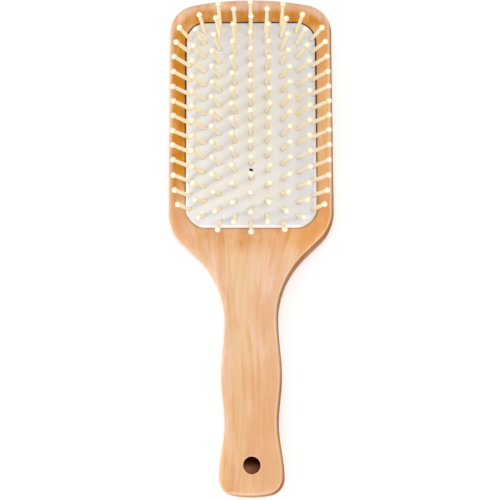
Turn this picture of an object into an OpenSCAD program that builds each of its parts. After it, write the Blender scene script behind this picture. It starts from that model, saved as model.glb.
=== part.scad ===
// Wooden paddle brush: a one-piece board with a handle, an air-cushion of rubber and turned wooden pins.
// The brush lies on its flat back. X is across the brush, +Y runs from the handle to the toe of the head,
// +Z points the way the pins stand, and the origin is at the middle of the back. Sizes are in millimetres.

/* [Board] */
// Whole length, from the handle's end to the toe of the head
board_l = 245; // [235:1:255]
// Thickness of the board
board_t = 12; // [11:0.5:14]
// Width of the head between its parallel sides
head_w = 80.5; // [79:0.5:84]
// Radius of the long shallow arc across the toe
toe_r = 150; // [120:5:300]
// Radius of the head's two toe corners
corner_r = 14; // [11:0.5:16]
// Place along Y at which the shoulders begin to turn in
shoulder_y = 14; // [13:0.5:15]
// Radius of the shoulders
shoulder_r = 20; // [18:0.5:22]
// Angle between the shoulders' slope and the length of the brush, in degrees
shoulder_angle = 46; // [44:1:48]
// Radius with which the shoulders run out into the neck
neck_r = 44; // [40:1:48]
// Radius of the rounded-over edges, front and back
edge_r = 2.5; // [1:0.5:4]

/* [Handle] */
// Width at the neck
neck_w = 25.7; // [24:0.1:28]
// Width where the handle swells for the palm
palm_w = 29; // [27:0.1:32]
// Place of the palm swell along Y
palm_y = -66; // [-69:1:-62]
// Width at the waist behind the palm swell
waist_w = 25.7; // [24:0.1:28]
// Place of the waist along Y
waist_y = -88.5; // [-91:0.5:-86]
// Width of the flared end
flare_w = 30.8; // [29:0.1:33]
// Radius of the handle end's corners
end_corner_r = 8.2; // [6:0.1:9]
// Radius of the shallow arc across the handle's end
end_r = 50; // [40:1:80]

/* [Hanging hole] */
// Diameter of the hole through the handle
hang_d = 8; // [6:0.5:9]
// Distance of the hole's centre from the handle's end
hang_from_end = 14.9; // [13:0.1:16]
// Width of the small bevel round each mouth of the hole
hang_bevel = 0.5; // [0.2:0.1:1]

/* [Pocket] */
// Width of the pocket that holds the cushion
pocket_w = 64; // [63.5:0.5:65]
// Length of the pocket
pocket_l = 104.2; // [103.8:0.2:105]
// Place of the pocket's middle along Y
pocket_y = 57.7; // [57.2:0.1:58.2]
// Radius of the pocket's corners
pocket_r = 10; // [9:0.5:11]
// Depth of the pocket below the front face
pocket_depth = 7.5; // [7:0.5:8]
// How far the flange groove runs out under the pocket's rim
groove_w = 2; // [1.6:0.1:2.4]
// Height of the flange groove
groove_h = 2; // [1.8:0.1:2.2]
// Wood left between the groove and the front face
groove_lip = 1.6; // [1.4:0.1:2]

/* [Cushion] */
// Height of the dome above its own edge
dome_h = 8.2; // [7:0.1:9]
// Height of the dome's edge above the board's front face
dome_edge = 1; // [0.6:0.1:1.4]
// How square the dome is across the brush: 2 is a plain arc, and more is flatter in the middle
dome_power_x = 2.3; // [2:0.1:2.6]
// How square the dome is along the brush
dome_power_y = 4.4; // [4:0.1:5]
// Thickness of the rubber across the dome
rubber_t = 1.3; // [1.1:0.1:1.4]
// Thickness of the rubber's upright side, below the dome
skirt_t = 0.9; // [0.8:0.05:1]
// Gap between the cushion and the pocket's rim
rim_gap = 0.15; // [0.1:0.05:0.3]
// Diameter of the breathing hole
vent_d = 1.5; // [1:0.1:2]

/* [Pins] */
// Distance between neighbouring columns at the middle of the head
column_pitch = 7.58; // [7.4:0.02:7.6]
// How much closer to the middle the outermost columns stand than an even spacing puts them
column_draw_in = 0.3; // [0.3:0.05:0.8]
// Distance between neighbouring pins in one column
row_pitch = 7.29; // [7.1:0.01:7.3]
// How much closer to the middle the last pins of the longest columns stand than an even spacing puts them
row_draw_in = 1.75; // [1.5:0.05:2]
// Distance from the rubber to the middle of a pin's ball tip
pin_reach = 15.4; // [14:0.1:17]
// Diameter of a pin's ball tip
ball_d = 2.8; // [2.4:0.1:3]
// Diameter of a pin where it leaves the rubber
pin_d = 2; // [1.8:0.1:2.1]
// Diameter of a pin just below its ball tip
pin_tip_d = 1.7; // [1.5:0.1:1.8]
// Diameter of the narrow waist that the rubber closes round
waist_d = 1.6; // [1.5:0.1:1.7]
// Running clearance between a pin's waist and the rubber, on the radius
waist_gap = 0.08; // [0.05:0.01:0.1]
// Diameter of the foot behind the rubber
foot_d = 2.4; // [2.2:0.1:2.4]
// Thickness of the foot
foot_t = 1; // [0.8:0.1:1.2]
// Gap between the foot and the rubber
foot_gap = 0.35; // [0.3:0.05:0.4]
// Height above the rubber at which the pin narrows to its waist
step_gap = 0.35; // [0.3:0.05:0.4]

/* [Hidden] */
// Nine columns of pins, numbered from the left. Each is in three groups: toe end, middle and heel end.
COLUMN_PINS = [13, 14, 15, 14, 15, 14, 15, 14, 13];
SECTIONS = ["toe", "middle", "heel"];
COLUMNS = [1 : len(COLUMN_PINS)];
function pin_node(column, section) = str("pins_", column, "_", section);

WOOD = [0.86, 0.62, 0.40];
RUBBER = [0.93, 0.92, 0.90];
PIN_WOOD = [0.94, 0.86, 0.68];

CUT = 1;                // how far a cutting shape runs past a face
SMALL = 0.01;           // distance over which the dome's slope is measured
ARC_STEPS = 8;          // stretches on each arc or wave of the board
EDGE_STEPS = 4;         // flats across each rounded-over edge
CORNER_STEPS = 6;       // stretches on each corner of the pocket and the cushion
SIDE_STEPS = 6;         // stretches along each straight side of the cushion
DOME_RINGS = 8;         // rings from the cushion's edge to its crown
BALL_STEPS = 10;        // stretches from a pin's neck over its ball tip
HANG_FN = 96;
PIN_FN = 32;
WAIST_FN = 16;
CENTRE_COLUMN = 5;
VENT_ROW = 3.5;         // pins from the middle of the centre column to the breathing hole
SECTION_HALF = 2.25;    // rows on each side of the middle that count as the middle section
EDGE_COLUMN = 4;        // columns from the middle one to the outermost
EDGE_ROW = 7;           // rows from the middle to the last pin of the longest columns
DRAW_IN_POWER_X = 4;
DRAW_IN_POWER_Y = 6;

pocket_floor = board_t - pocket_depth;
groove_top = board_t - groove_lip;
groove_bottom = groove_top - groove_h;
flange_gap = 0.2;       // all round the flange, so that it sits in its groove without binding
flange_bottom = groove_bottom + flange_gap;
flange_top = groove_top - flange_gap;
flange_half_w = pocket_w / 2 + groove_w - flange_gap;
cushion_half_w = pocket_w / 2 - rim_gap;
dome_base = board_t + dome_edge;
hang_y = -board_l / 2 + hang_from_end;

// ---- Lines that outlines are made of ----

function polar(r, angle) = r * [cos(angle), sin(angle)];

// Points along an arc between two angles, and the same without the first one, to go on from another line
function arc(centre, r, from, to, steps) =
    [for (i = [0 : steps]) centre + polar(r, from + (to - from) * i / steps)];
function arc_on(centre, r, from, to, steps) =
    [for (i = [1 : steps]) centre + polar(r, from + (to - from) * i / steps)];

// Half a cosine wave between the points a and b of a side, without the first one
function wave(a, b, steps) = [
    for (i = [1 : steps])
        let (share = (1 - cos(180 * i / steps)) / 2)
            [a.x + (b.x - a.x) * share, a.y + (b.y - a.y) * i / steps]
];

// Two triangles between points a and b of a ring and the points that lie above them, n further on
function band(a, b, n) = [[a, a + n, b + n], [a, b + n, b]];

// ---- Outline of the board: the right half, from the toe to the handle's end ----

// Distance along Y between the centres of a shallow arc of radius big_r and of a corner of radius r
// that runs into it, where the corner's centre is x from the centre line
function corner_on_arc(x, r, big_r) = sqrt(pow(big_r - r, 2) - x * x);

head_half = head_w / 2;
toe_centre = [0, board_l / 2 - toe_r];
corner_x = head_half - corner_r;
corner_centre = [corner_x, toe_centre.y + corner_on_arc(corner_x, corner_r, toe_r)];
corner_angle = atan2(corner_centre.y - toe_centre.y, corner_x);

shoulder_centre = [head_half - shoulder_r, shoulder_y];
slope_top = shoulder_centre + polar(shoulder_r, -shoulder_angle);
neck_x = neck_w / 2 + neck_r;
slope_foot_x = neck_x - neck_r * cos(shoulder_angle);
slope_foot_y = slope_top.y - (slope_top.x - slope_foot_x) / tan(shoulder_angle);
neck_centre = [neck_x, slope_foot_y - neck_r * sin(shoulder_angle)];

end_centre = [0, -board_l / 2 + end_r];
end_corner_x = flare_w / 2 - end_corner_r;
end_corner_centre = [end_corner_x, end_centre.y - corner_on_arc(end_corner_x, end_corner_r, end_r)];
end_corner_angle = atan2(end_corner_centre.y - end_centre.y, end_corner_x);

neck = [neck_w / 2, neck_centre.y];
palm = [palm_w / 2, palm_y];
waist = [waist_w / 2, waist_y];
flare = [flare_w / 2, end_corner_centre.y];

RIGHT_HALF = concat(
    arc(toe_centre, toe_r, 90, corner_angle, ARC_STEPS),
    arc_on(corner_centre, corner_r, corner_angle, 0, ARC_STEPS),
    arc(shoulder_centre, shoulder_r, 0, -shoulder_angle, ARC_STEPS),
    arc(neck_centre, neck_r, 180 - shoulder_angle, 180, ARC_STEPS),
    wave(neck, palm, ARC_STEPS),
    wave(palm, waist, ARC_STEPS),
    wave(waist, flare, ARC_STEPS),
    arc_on(end_corner_centre, end_corner_r, 0, end_corner_angle, ARC_STEPS),
    arc_on(end_centre, end_r, end_corner_angle, -90, ARC_STEPS)
);
LAST = len(RIGHT_HALF) - 1;

// The outward direction at each point of the right half, from the points on both sides of it
function mirrored(p) = [-p.x, p.y];
function before(i) = i == 0 ? mirrored(RIGHT_HALF[1]) : RIGHT_HALF[i - 1];
function after(i) = i == LAST ? mirrored(RIGHT_HALF[LAST - 1]) : RIGHT_HALF[i + 1];
function outward(i) = let (along = after(i) - before(i)) [-along.y, along.x] / norm(along);

// One closed ring of the board's side at a height, drawn in from the outline by inset
function board_ring(inset, z) =
    let (right = [for (i = [0 : LAST]) RIGHT_HALF[i] - inset * outward(i)])
    concat(
        [for (p = right) [p.x, p.y, z]],
        [for (i = [LAST - 1 : -1 : 1]) [-right[i].x, right[i].y, z]]
    );

// Inset and height of the rings on one rounded-over edge, from the face to the upright side
EDGE = [
    for (i = [0 : EDGE_STEPS])
        let (p = polar(edge_r, 90 * i / EDGE_STEPS))
            [edge_r - p.y, edge_r - p.x]
];

module board_blank() {
    levels = concat(
        [for (p = EDGE) p],
        [for (i = [EDGE_STEPS : -1 : 0]) [EDGE[i].x, board_t - EDGE[i].y]]
    );
    count = 2 * LAST;
    top = (len(levels) - 1) * count;
    sides = [
        for (r = [0 : len(levels) - 2]) for (i = [0 : count - 1])
            each band(r * count + (i + 1) % count, r * count + i, count)
    ];
    // Each cap is a row of strips from the right half across to the left one
    function left(i) = (count - i) % count;
    function strip(i) =
        i == 0 ? [0, left(1), 1] :
        i == LAST - 1 ? [i, left(i), LAST] :
        [i, left(i), left(i + 1), i + 1];
    back = [for (i = [0 : LAST - 1]) strip(i)];
    front = [for (face = back) [for (i = [len(face) - 1 : -1 : 0]) face[i] + top]];
    polyhedron(
        points = [for (level = levels) each board_ring(level.x, level.y)],
        faces = concat(sides, back, front)
    );
}

// ---- Rounded rectangles of the pocket and the cushion, anticlockwise from the right side ----

// The corners' centres stay put, so a wider or narrower outline keeps an even distance from the pocket's own
function pocket_corners(half_w) =
    let (x = pocket_w / 2 - pocket_r, y = pocket_l / 2 - pocket_r, r = half_w - x)
    concat(
        arc([x, y], r, 0, 90, CORNER_STEPS),
        arc([-x, y], r, 90, 180, CORNER_STEPS),
        arc([-x, -y], r, 180, 270, CORNER_STEPS),
        arc([x, -y], r, 270, 360, CORNER_STEPS)
    );

// The same with more points along the straight sides, for the dome
function dome_outline(half_w) = let (corners = pocket_corners(half_w), n = len(corners)) [
    for (i = [0 : n - 1])
        let (p = corners[i], q = corners[(i + 1) % n])
        let (steps = (i + 1) % (CORNER_STEPS + 1) == 0 ? SIDE_STEPS : 1)
            for (s = [0 : steps - 1]) p + (q - p) * s / steps
];

module pocket_shape(half_w, bottom, top) {
    translate([0, pocket_y, bottom])
        linear_extrude(height = top - bottom) polygon(pocket_corners(half_w));
}

// The bevel at the hanging hole's mouth in the back face
module hang_mouth() {
    translate([0, 0, -CUT])
        cylinder(d1 = hang_d + 2 * (hang_bevel + CUT), d2 = hang_d, h = hang_bevel + CUT, $fn = HANG_FN);
}

module hanging_hole() {
    translate([0, 0, -CUT]) cylinder(d = hang_d, h = board_t + 2 * CUT, $fn = HANG_FN);
    hang_mouth();
    translate([0, 0, board_t]) mirror([0, 0, 1]) hang_mouth();
}

module wooden_board() {
    color(WOOD) difference() {
        board_blank();
        pocket_shape(pocket_w / 2, pocket_floor, board_t + CUT);
        pocket_shape(pocket_w / 2 + groove_w, groove_bottom, groove_top);
        translate([0, hang_y, 0]) hanging_hole();
    }
}

// ---- Dome of the cushion ----

// Height of the dome over the point x, y, measured from the middle of the pocket
function dome_share(t, power) = 1 - pow(min(1, abs(t)), power);
function dome_z(x, y) = dome_base
    + dome_h * dome_share(2 * x / pocket_w, dome_power_x) * dome_share(2 * y / pocket_l, dome_power_y);

// Slope of the dome along each axis, and the direction that stands square to it
function dome_slope(x, y) = [
    (dome_z(x + SMALL, y) - dome_z(x - SMALL, y)) / (2 * SMALL),
    (dome_z(x, y + SMALL) - dome_z(x, y - SMALL)) / (2 * SMALL)
];
function dome_normal(x, y) = let (s = dome_slope(x, y), n = [-s.x, -s.y, 1]) n / norm(n);

// A closed solid from a flat floor up to the dome lowered by drop. half_w is the outline's half width.
module dome_solid(half_w, floor_z, drop) {
    outline = dome_outline(half_w);
    n = len(outline);
    floor_ring = [for (p = outline) [p.x, p.y, floor_z]];
    dome_rings = [
        for (r = [0 : DOME_RINGS - 1]) for (p = outline * (1 - r / DOME_RINGS))
            [p.x, p.y, dome_z(p.x, p.y) - drop]
    ];
    crown = len(floor_ring) + len(dome_rings);
    last_ring = crown - n;
    floor_middle = crown + 1;
    sides = [
        for (r = [0 : DOME_RINGS - 1]) for (i = [0 : n - 1])
            each band(r * n + i, r * n + (i + 1) % n, n)
    ];
    top = [for (i = [0 : n - 1]) [last_ring + i, crown, last_ring + (i + 1) % n]];
    bottom = [for (i = [0 : n - 1]) [i, (i + 1) % n, floor_middle]];
    translate([0, pocket_y, 0])
        polyhedron(
            points = concat(floor_ring, dome_rings, [[0, 0, dome_z(0, 0) - drop], [0, 0, floor_z]]),
            faces = concat(sides, top, bottom)
        );
}

module rubber_cushion() {
    color(RUBBER) difference() {
        union() {
            dome_solid(cushion_half_w, flange_bottom, 0);
            pocket_shape(flange_half_w, flange_bottom, flange_top);
        }
        dome_solid(cushion_half_w - skirt_t, flange_bottom - CUT, rubber_t);
        for (column = COLUMNS)
            for (row = rows(column))
                place_on_dome(column, row) rubber_hole(waist_d / 2 + waist_gap);
        place_on_dome(CENTRE_COLUMN, VENT_ROW) rubber_hole(vent_d / 2);
    }
}

// A hole square through the rubber
module rubber_hole(r) {
    translate([0, 0, -2 * rubber_t]) cylinder(r = r, h = 2 * rubber_t + CUT, $fn = WAIST_FN);
}

// ---- Pins ----

// Rows of a column, counted in pin pitches from the middle of the head towards the heel
function rows(column) = let (n = COLUMN_PINS[column - 1]) [for (i = [0 : n - 1]) i - (n - 1) / 2];

// Place of a column or a row from the middle of the head. The spacing closes up towards the edge of the dome.
function drawn_in(count, pitch, amount, edge, power) =
    count * pitch - sign(count) * amount * pow(abs(count) / edge, power);
function column_x(column) =
    drawn_in(column - CENTRE_COLUMN, column_pitch, column_draw_in, EDGE_COLUMN, DRAW_IN_POWER_X);
function row_y(row) = -drawn_in(row, row_pitch, row_draw_in, EDGE_ROW, DRAW_IN_POWER_Y);

// Stands its children square to the dome at one pin's place
module place_on_dome(column, row) {
    x = column_x(column);
    y = row_y(row);
    n = dome_normal(x, y);
    translate([x, y + pocket_y, dome_z(x, y)])
        rotate([0, acos(n.z), atan2(n.y, n.x)]) children();
}

// One turned pin, from the foot behind the rubber to the ball tip. Its zero is at the rubber's outer face.
module pin() {
    foot_r = foot_d / 2;
    foot_top = -rubber_t - foot_gap;
    waist_r = waist_d / 2;
    neck_angle = asin(pin_tip_d / ball_d);
    rotate_extrude($fn = PIN_FN) polygon(concat(
        [[0, foot_top - foot_t], [foot_r, foot_top - foot_t], [foot_r, foot_top]],
        [[waist_r, foot_top], [waist_r, step_gap], [pin_d / 2, step_gap]],
        arc([0, pin_reach], ball_d / 2, neck_angle - 90, 90, BALL_STEPS)
    ));
}

function section_of(row) = row < -SECTION_HALF ? "toe" : row > SECTION_HALF ? "heel" : "middle";

module pin_group(column, section) {
    color(PIN_WOOD)
        for (row = rows(column))
            if (section_of(row) == section) place_on_dome(column, row) pin();
}

wooden_board();
rubber_cushion();
for (column = COLUMNS)
    for (section = SECTIONS)
        pin_group(column, section);
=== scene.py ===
import math
import random

import bmesh
import bpy
import numpy as np
from mathutils import Matrix, Vector
from mathutils.geometry import delaunay_2d_cdt


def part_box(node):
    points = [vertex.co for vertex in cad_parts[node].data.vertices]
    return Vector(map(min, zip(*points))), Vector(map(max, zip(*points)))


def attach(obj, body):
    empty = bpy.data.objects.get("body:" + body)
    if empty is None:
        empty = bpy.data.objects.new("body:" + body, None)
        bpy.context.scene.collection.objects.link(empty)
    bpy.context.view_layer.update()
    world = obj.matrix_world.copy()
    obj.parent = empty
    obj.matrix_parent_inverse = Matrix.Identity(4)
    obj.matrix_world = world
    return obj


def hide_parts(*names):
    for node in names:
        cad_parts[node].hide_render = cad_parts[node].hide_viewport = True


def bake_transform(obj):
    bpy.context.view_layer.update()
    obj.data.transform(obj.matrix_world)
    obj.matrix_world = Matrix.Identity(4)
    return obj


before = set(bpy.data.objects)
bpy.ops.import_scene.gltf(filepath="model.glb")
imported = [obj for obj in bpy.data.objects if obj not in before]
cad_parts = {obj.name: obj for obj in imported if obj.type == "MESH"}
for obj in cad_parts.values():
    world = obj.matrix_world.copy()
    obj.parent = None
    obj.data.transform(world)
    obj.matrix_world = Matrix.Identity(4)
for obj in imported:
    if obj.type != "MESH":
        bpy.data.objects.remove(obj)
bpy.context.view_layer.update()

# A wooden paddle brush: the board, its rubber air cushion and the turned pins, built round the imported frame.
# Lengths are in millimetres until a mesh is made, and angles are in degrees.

MM = 0.001
SAME_PLACE = 1e-6  # metres
SAME_POINT = 1e-7  # millimetres


def box_mm(node):
    low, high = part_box(node)
    return low / MM, high / MM


BOARD_LO, BOARD_HI = box_mm("wooden_board")
CUSHION_LO, CUSHION_HI = box_mm("rubber_cushion")

# ---- Board: its outline repeats the CAD's, with finer steps ----
BOARD_T = BOARD_HI.z
HEAD_HALF = BOARD_HI.x
TOE_R = 150
CORNER_R = 14
SHOULDER_Y = 14
SHOULDER_R = 20
SHOULDER_ANGLE = 46
NECK_R = 44
NECK_HALF = 12.85
PALM = (14.5, -66)
WAIST = (12.85, -88.5)
FLARE_HALF = 15.4
END_CORNER_R = 8.2
END_R = 50
EDGE_R = 2.5
OUTLINE_STEP = 1.2
EDGE_STEPS = 8

HANG_R = 4
HANG_Y = BOARD_LO.y + 14.9
HANG_BEVEL = 0.5
HANG_STEPS = 64

POCKET_HALF = (32, 52.1)
POCKET_Y = (CUSHION_LO.y + CUSHION_HI.y) / 2
POCKET_R = 10
POCKET_FLOOR = 4.5
POCKET_RIM = 0.35
GROOVE_OUT = 2
GROOVE_TOP = BOARD_T - 1.6
GROOVE_BOTTOM = GROOVE_TOP - 2
POCKET_CORNER_STEPS = 14
POCKET_SIDE_STEP = 2
BOARD_SHARP = 40

# ---- Cushion ----
CUSHION_HALF = (31.85, 51.95)
DOME_BASE = BOARD_T + 1
DOME_H = CUSHION_HI.z - DOME_BASE
DOME_POWERS = (2.3, 4.4)
DOME_EDGE_R = 1.1
RUBBER_T = 1.3
SKIRT_T = 0.9
FLANGE_OUT = 1.95
FLANGE_TOP = 10.2
FLANGE_BOTTOM = CUSHION_LO.z
THINNEST = 0.6 * RUBBER_T
CUSHION_STEP = 0.5
EDGE_ZONE = 1.6 * DOME_EDGE_R
EDGE_LINES = 8
GRID_DIGITS = 5
CUSHION_SHARP = 60
VENT_Y = -25.3
VENT_HALF = (1.1, 0.7)
VENT_TURN = -30
VENT_FINE = 0.1
VENT_MARGIN = 4 * VENT_FINE

# The rubber dips round each pin inside a low lip, and the breathing hole has a lip of its own.
# The hole's lip is measured in shares of the hole's size.
DIP_DEPTH = 0.35
DIP_R = 1.25
LIP_H = 0.12
LIP_R = 1.75
LIP_W = 0.45
VENT_LIP_H = 0.22
VENT_LIP_AT = 1.35
VENT_LIP_W = 0.4

# ---- Pins ----
PIN_TIP = 16.8
BALL_R = 1.4
PIN_SIDES = 24
PIN_LEAN = 0.7
PIN_SEED = 7
PIN_SHARP = 60
FOOT_R = 1.2
FOOT_ROUND = 0.12
FOOT_BOTTOM = -2.65
FOOT_TOP = -1.65
WAIST_R = 0.8
SHAFT_R = 1.0
SHAFT_Z = 0.55
SHAFT_NARROWS = 0.15
SHAFT_LENGTH = 13
SHAFT_LEVELS = (3, 6, 9, 12, 13.2)
BALL_START = -54
BALL_END = 88
BALL_STEPS = 12

# ---- Camera and floor in millimetres, lights in metres and watts ----
CAMERA_LENS = 89.4
CAMERA_MM = (-0.90, -107.2, 603.2)
CAMERA_TILT = 9.8
CAMERA_ROLL = -0.14
CAMERA_NEAR = 0.01
FLOOR_HALF = 3000
FLOOR_Z = -0.2
SOFTBOX_ABOVE = {"place": (0.25, -0.02, 1.2), "size": 0.9, "power": 8.4}
SOFTBOX_LEFT = {"place": (-0.9, -0.42, 0.6), "size": 0.4, "power": 4.0}
LIGHT_AIM = (0, 0.03, 0.01)
ROOM_ACROSS = (-1, 0.6, 0.78, 0.44)
ROOM_HORIZON = (0.05, 0.3, 1, 0)


def polar(cx, cy, r, angle):
    return cx + r * math.cos(math.radians(angle)), cy + r * math.sin(math.radians(angle))


def arc(cx, cy, r, start, end):
    n = max(2, round(abs(math.radians(end - start)) * r / OUTLINE_STEP))
    return [polar(cx, cy, r, start + (end - start) * i / n) for i in range(n + 1)]


def wave(a, b):
    """Half a cosine wave from point a to point b of a side."""
    n = round(abs(b[1] - a[1]) / OUTLINE_STEP)
    shares = [i / n for i in range(n + 1)]
    swings = [(1 - math.cos(math.pi * s)) / 2 for s in shares]
    return [(a[0] + (b[0] - a[0]) * t, a[1] + (b[1] - a[1]) * s) for s, t in zip(shares, swings)]


def straight(a, b):
    n = max(1, round(math.dist(a, b) / OUTLINE_STEP))
    return [(a[0] + (b[0] - a[0]) * i / n, a[1] + (b[1] - a[1]) * i / n) for i in range(n + 1)]


def right_half():
    """The board's right side, from the middle of the toe to the middle of the handle's end."""
    toe_y = BOARD_HI.y - TOE_R
    corner_x = HEAD_HALF - CORNER_R
    corner_y = toe_y + math.sqrt((TOE_R - CORNER_R) ** 2 - corner_x**2)
    corner_angle = math.degrees(math.atan2(corner_y - toe_y, corner_x))
    shoulder_x = HEAD_HALF - SHOULDER_R
    slope_top = polar(shoulder_x, SHOULDER_Y, SHOULDER_R, -SHOULDER_ANGLE)
    neck_x = NECK_HALF + NECK_R
    foot_x = neck_x - NECK_R * math.cos(math.radians(SHOULDER_ANGLE))
    foot_y = slope_top[1] - (slope_top[0] - foot_x) / math.tan(math.radians(SHOULDER_ANGLE))
    neck_y = foot_y - NECK_R * math.sin(math.radians(SHOULDER_ANGLE))
    end_y = BOARD_LO.y + END_R
    end_corner_x = FLARE_HALF - END_CORNER_R
    end_corner_y = end_y - math.sqrt((END_R - END_CORNER_R) ** 2 - end_corner_x**2)
    end_angle = math.degrees(math.atan2(end_corner_y - end_y, end_corner_x))
    stretches = [
        arc(0, toe_y, TOE_R, 90, corner_angle),
        arc(corner_x, corner_y, CORNER_R, corner_angle, 0),
        straight((HEAD_HALF, corner_y), (HEAD_HALF, SHOULDER_Y)),
        arc(shoulder_x, SHOULDER_Y, SHOULDER_R, 0, -SHOULDER_ANGLE),
        straight(slope_top, (foot_x, foot_y)),
        arc(neck_x, neck_y, NECK_R, 180 - SHOULDER_ANGLE, 180),
        wave((NECK_HALF, neck_y), PALM),
        wave(PALM, WAIST),
        wave(WAIST, (FLARE_HALF, end_corner_y)),
        arc(end_corner_x, end_corner_y, END_CORNER_R, 0, end_angle),
        arc(0, end_y, END_R, end_angle, -90),
    ]
    return stretches[0][:1] + [p for s in stretches for p in s[1:]]


def board_outline():
    """The whole outline, anticlockwise, as an array."""
    right = right_half()
    left = [(-x, y) for x, y in right]
    return np.array(left[:-1] + right[:0:-1])


def outward(ring):
    """The direction square to an anticlockwise ring, at each of its points."""
    along = np.roll(ring, -1, 0) - np.roll(ring, 1, 0)
    along /= np.linalg.norm(along, axis=1)[:, None]
    return np.stack([along[:, 1], -along[:, 0]], 1)


def circle(cx, cy, r, n):
    return np.array([polar(cx, cy, r, 360 * i / n) for i in range(n)])


def rounded_rectangle(half_x, half_y, r):
    """Anticlockwise, round (0, POCKET_Y)."""
    points = []
    for quarter, (sx, sy) in enumerate(((1, 1), (-1, 1), (-1, -1), (1, -1))):
        cx, cy = sx * (half_x - r), POCKET_Y + sy * (half_y - r)
        for i in range(POCKET_CORNER_STEPS + 1):
            points.append(polar(cx, cy, r, 90 * (quarter + i / POCKET_CORNER_STEPS)))
    ring = []
    for a, b in zip(points, points[1:] + points[:1]):
        n = max(1, round(math.dist(a, b) / POCKET_SIDE_STEP))
        ring += [(a[0] + (b[0] - a[0]) * i / n, a[1] + (b[1] - a[1]) * i / n) for i in range(n)]
    return np.array(ring)


class Shell:
    """Points and faces of one closed mesh, in millimetres."""

    def __init__(self):
        self.points = []
        self.faces = []

    def ring(self, xy, z):
        start = len(self.points)
        self.points += [(x, y, z) for x, y in xy]
        return range(start, len(self.points))

    def bridge(self, low, high):
        """Walls from one ring up to the next, facing away from an anticlockwise ring's middle."""
        n = len(low)
        for i in range(n):
            j = (i + 1) % n
            self.faces.append((low[i], low[j], high[j], high[i]))

    def stack(self, rings):
        for low, high in zip(rings, rings[1:]):
            self.bridge(low, high)

    def flat(self, loops, up):
        """Triangles between an outer ring and the rings of its holes, all at one height."""
        keys = [k for loop in loops for k in loop]
        xy = [Vector(self.points[k][:2]) for k in keys]
        edges, start = [], 0
        for loop in loops:
            n = len(loop)
            edges += [(start + i, start + (i + 1) % n) for i in range(n)]
            start += n
        made, _, triangles, origin, _, _ = delaunay_2d_cdt(xy, edges, [], 0, SAME_POINT)
        rings = [np.array([self.points[k][:2] for k in loop]) for loop in loops]
        for t in triangles:
            middle = sum((made[k] for k in t), Vector((0, 0))) / 3
            if inside(middle, rings[0]) and not any(inside(middle, hole) for hole in rings[1:]):
                face = [keys[origin[k][0]] for k in t]
                a, b, c = (Vector(self.points[k][:2]) for k in face)
                turns_left = (b - a).cross(c - a) > 0
                self.faces.append(tuple(face if turns_left == up else reversed(face)))

    def build(self, name, material):
        mesh = bpy.data.meshes.new(name)
        mesh.from_pydata([Vector(p) * MM for p in self.points], [], self.faces)
        mesh.validate()
        mesh.materials.append(material)
        piece = bpy.data.objects.new(name, mesh)
        bpy.context.scene.collection.objects.link(piece)
        return piece


def inside(p, ring):
    x, y = ring[:, 0], ring[:, 1]
    x2, y2 = np.roll(x, -1), np.roll(y, -1)
    spans = (y > p.y) != (y2 > p.y)
    with np.errstate(divide="ignore", invalid="ignore"):
        cross = (x2 - x) * (p.y - y) / (y2 - y) + x
    return bool(np.count_nonzero(spans & (p.x < cross)) % 2)


def smooth(piece, sharp_angle):
    piece.data.shade_smooth()
    piece.data.set_sharp_from_angle(angle=math.radians(sharp_angle))
    weighted = piece.modifiers.new("flat_faces_stay_flat", "WEIGHTED_NORMAL")
    weighted.keep_sharp = True
    weighted.weight = 100


# ---- Materials ----


class Nodes:
    """A material's node tree, with short calls for the nodes that these materials use."""

    def __init__(self, name):
        self.material = bpy.data.materials.new(name)
        self.material.use_nodes = True
        self.tree = self.material.node_tree
        self.shader = self.tree.nodes["Principled BSDF"]

    def add(self, kind, **values):
        node = self.tree.nodes.new(kind)
        for key, value in values.items():
            setattr(node, key, value)
        return node

    def put(self, value, socket):
        if isinstance(value, bpy.types.NodeSocket):
            self.tree.links.new(value, socket)
        else:
            socket.default_value = value

    def math(self, operation, *values, clamp=False):
        node = self.add("ShaderNodeMath", operation=operation, use_clamp=clamp)
        for value, socket in zip(values, node.inputs):
            self.put(value, socket)
        return node.outputs[0]

    def length(self, a, b):
        """The length of a vector of two parts."""
        squares = [self.math("MULTIPLY", v, v) for v in (a, b)]
        return self.math("SQRT", self.math("ADD", *squares))

    def split(self, vector):
        node = self.add("ShaderNodeSeparateXYZ")
        self.put(vector, node.inputs[0])
        return node.outputs

    def noise(self, place, scale, detail=3, roughness=0.5, distortion=0.0):
        """Noise over the object's own coordinates. scale is in waves per metre along X, Y and Z."""
        stretch = self.add("ShaderNodeMapping")
        self.put(place, stretch.inputs["Vector"])
        stretch.inputs["Scale"].default_value = scale
        noise = self.add("ShaderNodeTexNoise")
        self.put(stretch.outputs[0], noise.inputs["Vector"])
        noise.inputs["Scale"].default_value = 1
        noise.inputs["Detail"].default_value = detail
        noise.inputs["Roughness"].default_value = roughness
        noise.inputs["Distortion"].default_value = distortion
        return noise.outputs["Fac"]

    def ramp(self, value, low, high, to_low=0.0, to_high=1.0):
        node = self.add("ShaderNodeMapRange", interpolation_type="SMOOTHSTEP")
        for v, socket in zip((value, low, high, to_low, to_high), node.inputs):
            self.put(v, socket)
        return node.outputs[0]

    def mix(self, share, a, b, blend="MIX"):
        node = self.add("ShaderNodeMix", data_type="RGBA", blend_type=blend)
        for v, name in ((share, "Factor_Float"), (a, "A_Color"), (b, "B_Color")):
            socket = next(s for s in node.inputs if s.identifier == name)
            self.put((*v, 1) if isinstance(v, tuple) else v, socket)
        return next(s for s in node.outputs if s.identifier == "Result_Color")

    def bump(self, height, depth):
        """depth is the height in metres that a change of 1 stands for."""
        node = self.add("ShaderNodeBump")
        node.inputs["Strength"].default_value = 1
        node.inputs["Distance"].default_value = depth
        self.put(height, node.inputs["Height"])
        self.put(node.outputs[0], self.shader.inputs["Normal"])


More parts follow.
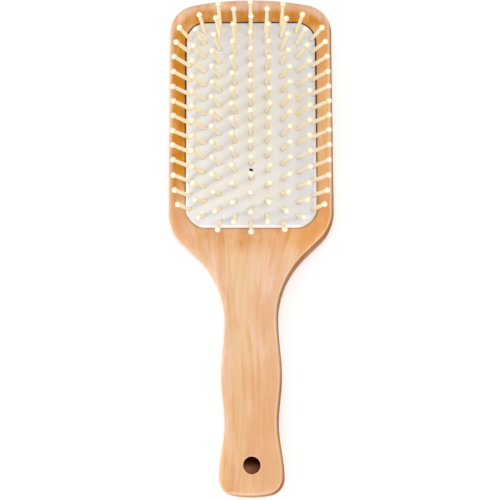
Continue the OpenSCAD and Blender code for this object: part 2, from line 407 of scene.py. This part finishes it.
def linear(byte):
    """One sRGB byte as the linear value that shaders use."""
    v = byte / 255
    return v / 12.92 if v <= 0.04045 else ((v + 0.055) / 1.055) ** 2.4


def rgb(red, green, blue):
    return linear(red), linear(green), linear(blue)


# Colours that multiply what lies under them are given as plain shares
WOOD_YELLOW = rgb(217, 180, 139)
WOOD_PINK = rgb(222, 183, 158)
WOOD_PALE = rgb(228, 193, 167)
WOOD_DEEP = rgb(208, 154, 104)
# Painted shadow of a pin's tip on the wood
WOOD_PIN_SHADOW = rgb(208, 146, 84)
WOOD_FIBRE = rgb(200, 150, 104)
WOOD_PORE = rgb(176, 102, 46)
WOOD_END = (0.97, 0.90, 0.76)
# Honey tone of the margin, also used as painted shade on the left and at the toe
WOOD_HONEY_AND_SHADE = (0.78, 0.48, 0.02)
# Yellowish painted light on the right margin
WOOD_LIT_YELLOW = (1.08, 0.99, 0.72)
# Painted highlight on the edges and on the hanging hole's bevel
WOOD_PAINTED_HIGHLIGHT = rgb(238, 212, 186)
# Painted shade on the sides that face right and to the heel
WOOD_SIDE_SHADE = (0.54, 0.40, 0.28)
# Painted shade in the gap round the cushion
WOOD_GAP_SHADE = rgb(46, 22, 8)
# Painted shade in the hanging hole's bore
WOOD_BORE_SHADE = rgb(110, 56, 32)
RUBBER_COOL = rgb(214, 213, 215)
RUBBER_WARM = rgb(217, 213, 208)
RUBBER_RIM = rgb(248, 246, 242)
PIN_PALE = rgb(252, 241, 213)
PIN_WARM = rgb(252, 236, 197)
PIN_GRAIN = rgb(246, 224, 178)
PIN_BALL = rgb(243, 231, 203)
PAPER_LOW = (0.87, 0.87, 0.87)
PAPER_HIGH = (0.89, 0.89, 0.89)
SHADE_LIT = rgb(199, 128, 94)
SHADE_DEEP = rgb(76, 24, 8)

# Waves per metre of each noise, along X, Y and Z
SWAY_WAVES = (22, 14, 22)
BAND_WAVES = (150, 9, 60)
TINT_WAVES = (430, 24, 140)
FIBRE_WAVES = (1500, 40, 1500)
PORE_WAVES = (2600, 150, 2600)
CLOUD_WAVES = (70, 34, 70)
HONEY_SHADE_WAVES = (260, 130, 260)
RUBBER_WAVES = (60, 60, 60)
SPECK_WAVES = (2200, 2200, 2200)
PIN_WAVES = (2600, 2600, 160)
PAPER_WAVES = (40, 40, 40)

# A span is what a ramp takes: where it starts and ends, then its value at each end if that isn't 0 and 1.
# Places and distances are in metres here, as the shaders have them.
GRAIN_SWAY = 0.012
GRAIN_SPREAD = (-0.045, 0.02, 1, 0.66)
BAND_SPAN = (0.34, 0.64)
TINT_DEEP_SPAN = (0.48, 0.68, 0, 0.7)
TINT_PALE_SPAN = (0.46, 0.3, 0, 0.3)
CLOUD_SPAN = (0.42, 0.66, 0, 0.6)
FIBRE_SPAN = (0.42, 0.7, 0, 0.26)
PORE_SPAN = (0.66, 0.76)
PORE_COLOUR = 0.14
HANDLE_SPAN = (-0.112, -0.02, 1, 0)

MARGIN_START = 0.0050
MARGIN_END_SPAN = (-0.004, 0.02, 0.0150, 0.0086)
# The left and toe spans place the margin's painted shade; the rest span shapes its honey tone
SHADE_LEFT_SPAN = (-0.034, -0.004, 1.3, 0)
SHADE_HEEL_SPAN = (0.002, 0.044)
SHADE_CORNER_SPAN = (0.096, 0.112, 1, 0.5)
SHADE_TOE_SPAN = (0.104, 0.111, 0, 0.88)
HONEY_REST_SPAN = (0.0, 0.05, 0.44, 0.12)
HONEY_SHADE_UNEVEN_SPAN = (0.34, 0.62, 0.62, 1.1)
# Where the right margin gets painted light
RIGHT_LIGHT_SPAN = (0.0, 0.03)

# Painted shade on the sides that face right and to the heel, and painted highlights on the edges
SIDE_DIRECTION = (0.75, 0.66)
LINE_START_SPAN = (0.06, 0.2)
LINE_END_SPAN = (0.26, 0.46, 0.42, 0)
LEFT_HIGHLIGHT_SPAN = (-0.75, -0.35, 0.22, 0)
SIDE_SPAN = (0.36, 0.6)
END_GRAIN_SPAN = (0.6, 0.9, 0, 0.6)
END_FIBRE_SPAN = (0.35, 0.65)

# A painted shadow of a pin's tip, and a dark fleck in it
PIN_SHADOW_CENTRE = (-0.0046, 0.0010)
PIN_SHADOW_HALF = (0.0022, 0.0080)
PIN_SHADOW_SPAN = (0.1, 1.2, 0.6, 0)
FLECK_CENTRE = (-0.0048, -0.0020)
FLECK_HALF = (0.0007, 0.0022)
FLECK_SPAN = (0.1, 1.2, 0.4, 0)

# Painted shade in the gap round the cushion and in the bore, and a painted highlight on the hole's bevel
GAP_SHADE_RIM_SPAN = (0.0004, 0.0009, 1, 0)
GAP_SHADE_TOE_SPAN = (0.0, 0.08, 0.1, 0.96)
BEVEL_START_SPAN = (0.0041, 0.0043)
BEVEL_END_SPAN = (0.0044, 0.0048, 0.3, 0)
BORE_SHADE_SPAN = ((HANG_R + 0.02) * MM, (HANG_R + 0.16) * MM, 1, 0)

WOOD_ROUGH_SPAN = (0.3, 0.75, 0.46, 0.6)
WOOD_SPECULAR = 0.22
WOOD_RELIEF = 0.00003
FIBRE_RELIEF = 0.6
PORE_RELIEF = 0.8

RUBBER_SPAN = (0.35, 0.65)
RUBBER_RIM_SPAN = (-0.0016, -0.0004)
RUBBER_HEEL_SPAN = (0.02, 0.08, 1, 0)
RUBBER_ROUGH_SPAN = (0.3, 0.7, 0.5, 0.62)
RUBBER_RELIEF = 0.00002

PIN_GRAIN_SPAN = (0.45, 0.75, 0, 0.45)
PIN_BALL_SPAN = (0.8, 0.92)
PIN_ROUGH_SPAN = (0.35, 0.7, 0.34, 0.46)
PIN_RELIEF = 0.00002

OPEN_PAPER_SPAN = (0.006, 0.008)
SHADE_SPAN = (-0.003, 0.002)
PAPER_GLOW_SPAN = (0.3, 1.4, 0.17, 0.6)
PAPER_ROUGH = 0.9


def pocket_distance(n, x, y):
    """Distance outside the pocket's rounded outline, in metres."""
    over_x = n.math("SUBTRACT", n.math("ABSOLUTE", x), (POCKET_HALF[0] - POCKET_R) * MM)
    over_y = n.math("ABSOLUTE", n.math("SUBTRACT", y, POCKET_Y * MM))
    over_y = n.math("SUBTRACT", over_y, (POCKET_HALF[1] - POCKET_R) * MM)
    corner = n.length(n.math("MAXIMUM", over_x, 0.0), n.math("MAXIMUM", over_y, 0.0))
    away = n.math("ADD", corner, n.math("MINIMUM", n.math("MAXIMUM", over_x, over_y), 0.0))
    return n.math("SUBTRACT", away, POCKET_R * MM)


def oval_distance(n, x, y, centre, half):
    """0 in the middle of an upright oval and 1 on its edge."""
    parts = []
    for value, middle, reach in zip((x, y), centre, half):
        parts.append(n.math("DIVIDE", n.math("SUBTRACT", value, middle), reach))
    return n.length(*parts)


def board_wood():
    n = Nodes("oiled_hardwood")
    place = n.add("ShaderNodeTexCoord").outputs["Object"]
    x, y, z = n.split(place)

    def tinted(share, colour, tint):
        """The colour multiplied by a tint, where share is 1."""
        return n.mix(share, colour, n.mix(1.0, colour, tint, "MULTIPLY"))

    # Grain runs along Y, wanders a little and spreads out towards the head
    sway = n.math("SUBTRACT", n.noise(place, SWAY_WAVES, detail=1), 0.5)
    sway = n.math("MULTIPLY", sway, GRAIN_SWAY)
    spread = n.math("MULTIPLY", x, n.ramp(y, *GRAIN_SPREAD))
    grain = n.add("ShaderNodeCombineXYZ")
    for value, socket in zip((n.math("ADD", spread, sway), y, z), grain.inputs):
        n.put(value, socket)
    along = grain.outputs[0]
    bands = n.noise(along, BAND_WAVES, detail=3, distortion=0.9)
    tint = n.noise(along, TINT_WAVES, detail=3, distortion=0.6)
    fibres = n.noise(along, FIBRE_WAVES, detail=4, roughness=0.6)
    pores = n.noise(along, PORE_WAVES, detail=1)
    cloud = n.noise(place, CLOUD_WAVES, detail=3)

    colour = n.mix(n.ramp(bands, *BAND_SPAN), WOOD_YELLOW, WOOD_PINK)
    colour = n.mix(n.ramp(tint, *TINT_DEEP_SPAN), colour, WOOD_DEEP)
    colour = n.mix(n.ramp(tint, *TINT_PALE_SPAN), colour, WOOD_PALE)
    colour = n.mix(n.ramp(cloud, *CLOUD_SPAN), colour, WOOD_DEEP)
    colour = n.mix(n.ramp(fibres, *FIBRE_SPAN), colour, WOOD_FIBRE)
    pore = n.ramp(pores, *PORE_SPAN)
    colour = n.mix(n.math("MULTIPLY", pore, PORE_COLOUR), colour, WOOD_PORE)
    colour = tinted(n.ramp(y, *HANDLE_SPAN), colour, WOOD_END)

    # The margin round the cushion has a deeper honey tone, and painted shade most on the left and at the toe.
    # The right margin gets a little yellowish painted light.
    away = pocket_distance(n, x, y)
    margin = n.ramp(away, MARGIN_START, n.ramp(y, *MARGIN_END_SPAN), 1, 0)
    left = n.math("MULTIPLY", n.ramp(x, *SHADE_LEFT_SPAN), n.ramp(y, *SHADE_HEEL_SPAN))
    left = n.math("MULTIPLY", left, n.ramp(y, *SHADE_CORNER_SPAN))
    toe = n.ramp(y, *SHADE_TOE_SPAN)
    weight = n.math("MAXIMUM", n.math("MAXIMUM", left, toe), n.ramp(y, *HONEY_REST_SPAN))
    uneven = n.ramp(n.noise(place, HONEY_SHADE_WAVES, detail=3), *HONEY_SHADE_UNEVEN_SPAN)
    honey_and_shade = n.math("MULTIPLY", n.math("MULTIPLY", margin, weight), uneven, clamp=True)
    colour = tinted(honey_and_shade, colour, WOOD_HONEY_AND_SHADE)
    colour = tinted(n.math("MULTIPLY", margin, n.ramp(x, *RIGHT_LIGHT_SPAN)), colour, WOOD_LIT_YELLOW)

    # The sides that face right and back to the heel get painted shade, under a painted highlight line.
    # The left edge gets a pale painted highlight.
    normal = n.add("ShaderNodeTexCoord").outputs["Normal"]
    facing_x, facing_y, _ = n.split(normal)
    right = n.math("MULTIPLY", facing_x, SIDE_DIRECTION[0])
    shaded = n.math("SUBTRACT", right, n.math("MULTIPLY", facing_y, SIDE_DIRECTION[1]))
    line = n.math("MULTIPLY", n.ramp(shaded, *LINE_START_SPAN), n.ramp(shaded, *LINE_END_SPAN))
    left_highlight = n.ramp(facing_x, *LEFT_HIGHLIGHT_SPAN)
    colour = n.mix(n.math("MAXIMUM", left_highlight, line), colour, WOOD_PAINTED_HIGHLIGHT)
    colour = tinted(n.ramp(shaded, *SIDE_SPAN), colour, WOOD_SIDE_SHADE)

    # End grain is plainer than side grain
    end = n.ramp(n.math("ABSOLUTE", facing_y), *END_GRAIN_SPAN)
    colour = n.mix(end, colour, n.mix(n.ramp(fibres, *END_FIBRE_SPAN), WOOD_FIBRE, WOOD_DEEP))

    # A soft orange painted shadow of a pin's tip where the neck begins, with a fleck in it
    pin_shadow = oval_distance(n, x, y, PIN_SHADOW_CENTRE, PIN_SHADOW_HALF)
    colour = n.mix(n.ramp(pin_shadow, *PIN_SHADOW_SPAN), colour, WOOD_PIN_SHADOW)
    fleck = oval_distance(n, x, y, FLECK_CENTRE, FLECK_HALF)
    colour = n.mix(n.ramp(fleck, *FLECK_SPAN), colour, WOOD_PORE)

    # The pocket's rim gets painted shade, most at the toe, and so does the hanging hole's bore.
    # The hole's bevel gets a painted highlight.
    gap_shade = n.math("MULTIPLY", n.ramp(away, *GAP_SHADE_RIM_SPAN), n.ramp(y, *GAP_SHADE_TOE_SPAN))
    colour = n.mix(gap_shade, colour, WOOD_GAP_SHADE)
    radius = n.length(x, n.math("SUBTRACT", y, HANG_Y * MM))
    bevel = n.math("MULTIPLY", n.ramp(radius, *BEVEL_START_SPAN), n.ramp(radius, *BEVEL_END_SPAN))
    colour = n.mix(bevel, colour, WOOD_PAINTED_HIGHLIGHT)
    colour = n.mix(n.ramp(radius, *BORE_SHADE_SPAN), colour, WOOD_BORE_SHADE)

    n.put(colour, n.shader.inputs["Base Color"])
    n.put(n.ramp(fibres, *WOOD_ROUGH_SPAN), n.shader.inputs["Roughness"])
    n.shader.inputs["Specular IOR Level"].default_value = WOOD_SPECULAR
    raised = n.math("MULTIPLY", fibres, FIBRE_RELIEF)
    n.bump(n.math("SUBTRACT", raised, n.math("MULTIPLY", pore, PORE_RELIEF)), WOOD_RELIEF)
    return n.material


def cushion_rubber():
    n = Nodes("white_rubber")
    place = n.add("ShaderNodeTexCoord").outputs["Object"]
    cloud = n.noise(place, RUBBER_WAVES, detail=3)
    speck = n.noise(place, SPECK_WAVES, detail=2)
    colour = n.mix(n.ramp(cloud, *RUBBER_SPAN), RUBBER_COOL, RUBBER_WARM)

    # The rounded rim is paler towards the heel
    x, y, _ = n.split(place)
    side = n.math("SUBTRACT", n.math("ABSOLUTE", x), CUSHION_HALF[0] * MM)
    heel = n.math("SUBTRACT", (POCKET_Y - CUSHION_HALF[1]) * MM, y)
    rim = n.ramp(n.math("MAXIMUM", side, heel), *RUBBER_RIM_SPAN)
    colour = n.mix(n.math("MULTIPLY", rim, n.ramp(y, *RUBBER_HEEL_SPAN)), colour, RUBBER_RIM)
    n.put(colour, n.shader.inputs["Base Color"])
    n.put(n.ramp(cloud, *RUBBER_ROUGH_SPAN), n.shader.inputs["Roughness"])
    n.bump(speck, RUBBER_RELIEF)
    return n.material


def pin_wood():
    """The attribute pick is each pin's own tone, and along is 0 at the rubber and 1 at the tip."""
    n = Nodes("cream_pin_wood")
    place = n.add("ShaderNodeTexCoord").outputs["Object"]
    pick = n.add("ShaderNodeAttribute", attribute_name="pick").outputs["Fac"]
    along = n.add("ShaderNodeAttribute", attribute_name="along").outputs["Fac"]
    grain = n.noise(place, PIN_WAVES, detail=3)
    colour = n.mix(pick, PIN_PALE, PIN_WARM)
    colour = n.mix(n.ramp(grain, *PIN_GRAIN_SPAN), colour, PIN_GRAIN)
    colour = n.mix(n.ramp(along, *PIN_BALL_SPAN), colour, PIN_BALL)
    n.put(colour, n.shader.inputs["Base Color"])
    n.put(n.ramp(grain, *PIN_ROUGH_SPAN), n.shader.inputs["Roughness"])
    n.bump(grain, PIN_RELIEF)
    return n.material


def floor_white():
    n = Nodes("white_paper")
    place = n.add("ShaderNodeTexCoord").outputs["Object"]
    x, y, _ = n.split(place)

    # The paper is in deep shade where it shows through the hanging hole
    out_y = n.math("SUBTRACT", y, HANG_Y * MM)
    open_paper = n.ramp(n.length(x, out_y), *OPEN_PAPER_SPAN)
    shade = n.mix(n.ramp(out_y, *SHADE_SPAN), SHADE_LIT, SHADE_DEEP)
    paper = n.mix(n.noise(place, PAPER_WAVES), PAPER_LOW, PAPER_HIGH)
    n.put(n.mix(open_paper, shade, paper), n.shader.inputs["Base Color"])
    glow = n.ramp(n.length(x, y), *PAPER_GLOW_SPAN)
    n.put(n.math("MULTIPLY", open_paper, glow), n.shader.inputs["Emission Strength"])
    n.shader.inputs["Roughness"].default_value = PAPER_ROUGH
    n.shader.inputs["Specular IOR Level"].default_value = 0
    n.shader.inputs["Emission Color"].default_value = (1, 1, 1, 1)
    return n.material


# ---- The board ----


def make_board(material):
    shell = Shell()
    outline = board_outline()
    normal = outward(outline)
    turns = [math.pi / 2 * i / EDGE_STEPS for i in range(EDGE_STEPS + 1)]
    edge = [(EDGE_R * (1 - math.sin(a)), EDGE_R * (1 - math.cos(a))) for a in turns]
    sides = [shell.ring(outline - inset * normal, rise) for inset, rise in edge]
    sides += [shell.ring(outline - inset * normal, BOARD_T - rise) for inset, rise in reversed(edge)]
    shell.stack(sides)

    # The pocket, from its rounded rim down to the flange groove and the floor
    def pocket_ring(out, z):
        half_x, half_y = POCKET_HALF
        return shell.ring(rounded_rectangle(half_x + out, half_y + out, POCKET_R + out), z)

    rim = [(POCKET_RIM * (1 - math.sin(a)), BOARD_T - POCKET_RIM * (1 - math.cos(a))) for a in turns[::2]]
    levels = [(0, POCKET_FLOOR), (0, GROOVE_BOTTOM), (GROOVE_OUT, GROOVE_BOTTOM), (GROOVE_OUT, GROOVE_TOP)]
    levels += [(0, GROOVE_TOP)] + rim[::-1]
    pocket = [pocket_ring(out, z) for out, z in levels]
    shell.stack([ring[::-1] for ring in pocket])
    shell.faces.append(tuple(pocket[0]))

    # The hanging hole, with its two bevelled mouths
    def hole_ring(out, z):
        return shell.ring(circle(0, HANG_Y, HANG_R + out, HANG_STEPS), z)

    mouth = [(HANG_BEVEL * (1 - math.sin(a)), HANG_BEVEL * (1 - math.cos(a))) for a in turns[::2]]
    hole = [hole_ring(out, z) for out, z in mouth]
    hole += [hole_ring(out, BOARD_T - z) for out, z in mouth[::-1]]
    shell.stack([ring[::-1] for ring in hole])

    shell.flat([sides[-1], pocket[-1], hole[-1]], up=True)
    shell.flat([sides[0], hole[0]], up=False)
    piece = shell.build("board_of_one_plank", material)
    smooth(piece, BOARD_SHARP)
    return piece


# ---- The cushion ----


def dome_z(x, y):
    across = 1 - np.minimum(1, np.abs(x / POCKET_HALF[0])) ** DOME_POWERS[0]
    along = 1 - np.minimum(1, np.abs(y / POCKET_HALF[1])) ** DOME_POWERS[1]
    return DOME_BASE + DOME_H * across * along


def grid_lines(half, fine_at):
    """Shares from -1 to 1, closer together at both ends, where the edge rounds over, and round fine_at."""
    count = round(half / CUSHION_STEP)
    zone = EDGE_ZONE / half
    even = [i / count for i in range(-count, count + 1)]
    lines = {round(share, GRID_DIGITS) for share in even if abs(share) < 1 - zone}
    for i in range(EDGE_LINES + 1):
        share = 1 - zone * (1 - math.sin(math.pi / 2 * i / EDGE_LINES))
        lines |= {round(share, GRID_DIGITS), round(-share, GRID_DIGITS)}
    near = (max(VENT_HALF) + VENT_MARGIN) / half
    lines = {share for share in lines if abs(share - fine_at) > near}
    steps = round(near * half / VENT_FINE)
    lines |= {round(fine_at + near * i / steps, GRID_DIGITS) for i in range(-steps, steps + 1)}
    return np.array(sorted(lines))


def onto_outline(u, v, half, r):
    """Points of a square, pulled into a rounded rectangle ring by ring."""
    level = np.maximum(np.maximum(np.abs(u), np.abs(v)), 1e-9)
    corner = np.array(half) - r
    edge = np.stack([u / level * half[0], v / level * half[1]], -1)
    centre = np.clip(edge, -corner, corner)
    away = edge - centre
    length = np.maximum(np.linalg.norm(away, axis=-1), 1e-9)[..., None]
    return (centre + r * away / length) * level[..., None]


def edge_distance(xy, half, r):
    """How far each point lies inside a rounded rectangle's outline."""
    d = np.abs(xy) - (np.array(half) - r)
    outside = np.linalg.norm(np.maximum(d, 0), axis=-1)
    return r - outside - np.minimum(np.maximum(d[..., 0], d[..., 1]), 0)


def pin_axes():
    """Each CAD pin's node, place at the rubber and direction, from the frame."""
    found = []
    for name in sorted(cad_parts):
        if not name.startswith("pins_"):
            continue
        bm = bmesh.new()
        bm.from_mesh(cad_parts[name].data)
        bmesh.ops.remove_doubles(bm, verts=bm.verts, dist=SAME_PLACE)
        left = set(bm.verts)
        pins = []
        while left:
            island, todo = [], [min(left, key=lambda v: v.index)]
            left.discard(todo[0])
            while todo:
                vert = todo.pop()
                island.append(vert.co)
                for e in vert.link_edges:
                    other = e.other_vert(vert)
                    if other in left:
                        left.discard(other)
                        todo.append(other)
            points = np.array(island) / MM
            middle = points.mean(0)
            direction = np.linalg.svd(points - middle, full_matrices=False)[2][0]
            direction *= np.sign(direction[2])
            reach = ((points - middle) @ direction).max()
            pins.append((middle + direction * (reach - PIN_TIP), direction))
        bm.free()
        found.append((name, sorted(pins, key=lambda p: -p[0][1])))
    return found


def make_cushion(material, pins):
    half, r = CUSHION_HALF, POCKET_R - (POCKET_HALF[0] - CUSHION_HALF[0])
    lines_x = grid_lines(half[0], 0.0)
    lines_y = grid_lines(half[1], VENT_Y / half[1])
    u, v = np.meshgrid(lines_x, lines_y, indexing="ij")
    xy = onto_outline(u, v, half, r)
    x, y = xy[..., 0], xy[..., 1]
    z = dome_z(x, y)

    # The rubber dips where each pin comes through, inside a low rounded lip
    for base, _ in pins:
        away = np.hypot(x - base[0], y - (base[1] - POCKET_Y))
        z -= DIP_DEPTH * np.exp(-((away / DIP_R) ** 4))
        z += LIP_H * np.exp(-(((away - LIP_R) / LIP_W) ** 2))

    # The breathing hole is a slanted slit inside its own lip
    turn = math.radians(VENT_TURN)
    a = (x * math.cos(turn) + (y - VENT_Y) * math.sin(turn)) / VENT_HALF[0]
    b = (-x * math.sin(turn) + (y - VENT_Y) * math.cos(turn)) / VENT_HALF[1]
    slit = np.hypot(a, b)
    z += VENT_LIP_H * np.exp(-(((slit - VENT_LIP_AT) / VENT_LIP_W) ** 2))

    depth = edge_distance(xy, half, r)
    rounding = np.clip(1 - depth / DOME_EDGE_R, 0, 1)
    z -= DOME_EDGE_R * (1 - np.sqrt(np.maximum(0, 1 - rounding**2)))

    inner_half = (half[0] - SKIRT_T, half[1] - SKIRT_T)
    inner = onto_outline(u, v, inner_half, r - SKIRT_T)
    inner_z = np.minimum(dome_z(inner[..., 0], inner[..., 1]) - RUBBER_T, z - THINNEST)

    nx, ny = u.shape
    shell = Shell()
    for sheet, height in ((xy, z), (inner, inner_z)):
        flat = sheet.reshape(-1, 2)
        shell.points += [(p[0], p[1] + POCKET_Y, h) for p, h in zip(flat, height.ravel())]
    total = nx * ny
    index = np.arange(total).reshape(nx, ny)
    open_cell = np.zeros((nx - 1, ny - 1), bool)
    centre = (slit[1:, 1:] + slit[:-1, 1:] + slit[1:, :-1] + slit[:-1, :-1]) / 4
    open_cell[centre < 1] = True
    for i in range(nx - 1):
        for j in range(ny - 1):
            if not open_cell[i, j]:
                quad = (index[i, j], index[i + 1, j], index[i + 1, j + 1], index[i, j + 1])
                shell.faces.append(tuple(int(k) for k in quad))
                shell.faces.append(tuple(int(k) + total for k in reversed(quad)))

    # Walls of the breathing hole, between the two sheets
    for i, j in zip(*np.nonzero(open_cell)):
        corners = [index[i, j], index[i + 1, j], index[i + 1, j + 1], index[i, j + 1]]
        beside = [(i, j - 1), (i + 1, j), (i, j + 1), (i - 1, j)]
        for k, cell in enumerate(beside):
            if not open_cell[cell]:
                p, q = int(corners[k]), int(corners[(k + 1) % 4])
                shell.faces.append((p, q, q + total, p + total))

    # The skirt and the flange below the dome's edge
    rim = np.concatenate([index[:-1, 0], index[-1, :-1], index[:0:-1, -1], index[0, :0:-1]])
    middle = np.array([0, POCKET_Y])

    def flange_ring(out, height):
        share = onto_outline(u, v, (half[0] + out, half[1] + out), r + out).reshape(-1, 2)
        return shell.ring(share[rim] + middle, height)

    levels = [(0, FLANGE_TOP), (FLANGE_OUT, FLANGE_TOP)]
    levels += [(FLANGE_OUT, FLANGE_BOTTOM), (-SKIRT_T, FLANGE_BOTTOM)]
    flange = [flange_ring(out, height) for out, height in levels]
    down = [[int(k) for k in rim]] + flange + [[int(k) + total for k in rim]]
    for high, low in zip(down, down[1:]):
        shell.bridge(low, high)
    piece = shell.build("rubber_air_cushion", material)
    smooth(piece, CUSHION_SHARP)
    return piece


# ---- The pins ----


def pin_profile():
    """Distance from the axis and height above the rubber, from the foot to the ball tip."""
    flat_r = FOOT_R - FOOT_ROUND
    foot = [(0.0, FOOT_BOTTOM), (flat_r, FOOT_BOTTOM), (FOOT_R, FOOT_BOTTOM + FOOT_ROUND)]
    foot += [(FOOT_R, FOOT_TOP - FOOT_ROUND), (flat_r, FOOT_TOP), (WAIST_R, FOOT_TOP + 0.03)]
    waist = [(WAIST_R, -0.9), (WAIST_R, 0.05), (0.86, 0.25), (0.97, 0.37), (SHAFT_R, SHAFT_Z)]
    shaft = [(SHAFT_R - SHAFT_NARROWS * (z - SHAFT_Z) / SHAFT_LENGTH, z) for z in SHAFT_LEVELS]
    centre = PIN_TIP - BALL_R
    neck_r, neck_z = polar(0, centre, BALL_R, BALL_START)
    fillet = [(neck_r + 0.02, neck_z - 0.45), (neck_r + 0.01, neck_z - 0.2)]
    ball_turn = (BALL_END - BALL_START) / BALL_STEPS
    ball = [polar(0, centre, BALL_R, BALL_START + ball_turn * i) for i in range(BALL_STEPS + 1)]
    return foot + waist + shaft + fillet + ball + [(0.0, PIN_TIP)]


def make_pins(node, pins, material, chance):
    """All the pins of one CAD node, each turned on its own axis."""
    shell = Shell()
    along, pick = [], []
    profile = pin_profile()
    for base, direction in pins:
        tone = chance.random()
        lean = Matrix.Rotation(math.radians(PIN_LEAN) * chance.uniform(-1, 1), 3, "X")
        lean @= Matrix.Rotation(math.radians(PIN_LEAN) * chance.uniform(-1, 1), 3, "Y")
        turn = Vector((0, 0, 1)).rotation_difference(Vector(direction)).to_matrix() @ lean
        rings = []
        for radius, height in profile:
            count = PIN_SIDES if radius > 0 else 1
            start = len(shell.points)
            for i in range(count):
                px, py = polar(0, 0, radius, 360 * i / PIN_SIDES)
                shell.points.append(tuple(Vector(base) + turn @ Vector((px, py, height))))
            along += [max(0.0, height / PIN_TIP)] * count
            pick += [tone] * count
            rings.append(range(start, len(shell.points)))
        shell.stack(rings[1:-1])
        n = PIN_SIDES
        shell.faces += [(rings[0][0], rings[1][(i + 1) % n], rings[1][i]) for i in range(n)]
        shell.faces += [(rings[-1][0], rings[-2][i], rings[-2][(i + 1) % n]) for i in range(n)]
    piece = shell.build("turned_" + node, material)
    for name, values in (("along", along), ("pick", pick)):
        piece.data.attributes.new(name, "FLOAT", "POINT").data.foreach_set("value", values)
    piece.data.shade_smooth()
    piece.data.set_sharp_from_angle(angle=math.radians(PIN_SHARP))
    return piece


# ---- The camera, the floor and the light ----


def make_camera():
    camera = bpy.data.objects.new("camera", bpy.data.cameras.new("camera"))
    bpy.context.scene.collection.objects.link(camera)
    camera.data.lens = CAMERA_LENS
    camera.location = Vector(CAMERA_MM) * MM
    camera.rotation_euler = (math.radians(CAMERA_TILT), 0, math.radians(CAMERA_ROLL))
    camera.data.clip_start = CAMERA_NEAR
    bpy.context.scene.camera = camera


def make_floor():
    shell = Shell()
    corners = [(-1, -1), (1, -1), (1, 1), (-1, 1)]
    ring = shell.ring([(FLOOR_HALF * x, FLOOR_HALF * y) for x, y in corners], FLOOR_Z)
    shell.faces.append(tuple(ring))
    floor = shell.build("floor", floor_white())


def area_light(name, place, size, power):
    light = bpy.data.lights.new(name, "AREA")
    light.shape = "DISK"
    light.size = size
    light.energy = power
    lamp = bpy.data.objects.new(name, light)
    bpy.context.scene.collection.objects.link(lamp)
    lamp.location = place
    lamp.rotation_euler = (Vector(LIGHT_AIM) - lamp.location).to_track_quat("-Z", "Y").to_euler()


def make_light():
    area_light("softbox_above", **SOFTBOX_ABOVE)
    area_light("softbox_left", **SOFTBOX_LEFT)

    # The room is bright on the left, dimmer on the right, and white all round at the floor's height
    world = bpy.data.worlds.new("studio")
    world.use_nodes = True
    tree = world.node_tree
    background = tree.nodes["Background"]
    background.inputs["Color"].default_value = (1, 1, 1, 1)
    direction = tree.nodes.new("ShaderNodeTexCoord")
    split = tree.nodes.new("ShaderNodeSeparateXYZ")
    tree.links.new(direction.outputs["Generated"], split.inputs[0])
    across = tree.nodes.new("ShaderNodeMapRange")
    low = tree.nodes.new("ShaderNodeMapRange")
    for node, axis, values in ((across, "X", ROOM_ACROSS), (low, "Z", ROOM_HORIZON)):
        tree.links.new(split.outputs[axis], node.inputs["Value"])
        for name, value in zip(("From Min", "From Max", "To Min", "To Max"), values):
            node.inputs[name].default_value = value
    both = tree.nodes.new("ShaderNodeMix")
    tree.links.new(low.outputs[0], both.inputs[0])
    tree.links.new(across.outputs[0], both.inputs[2])
    both.inputs[3].default_value = 1
    tree.links.new(both.outputs[0], background.inputs["Strength"])
    bpy.context.scene.world = world
    bpy.context.scene.view_settings.view_transform = "Standard"


make_camera()
make_floor()
make_light()

board = make_board(board_wood())
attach(board, "board")
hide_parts("wooden_board")

nodes = pin_axes()
cushion = make_cushion(cushion_rubber(), [pin for _, pins in nodes for pin in pins])
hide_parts("rubber_cushion")
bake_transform(cushion)

chance = random.Random(PIN_SEED)
cream = pin_wood()
for node, pins in nodes:
    piece = make_pins(node, pins, cream, chance)
    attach(piece, "pin_column_" + node.split("_")[1])
    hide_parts(node)
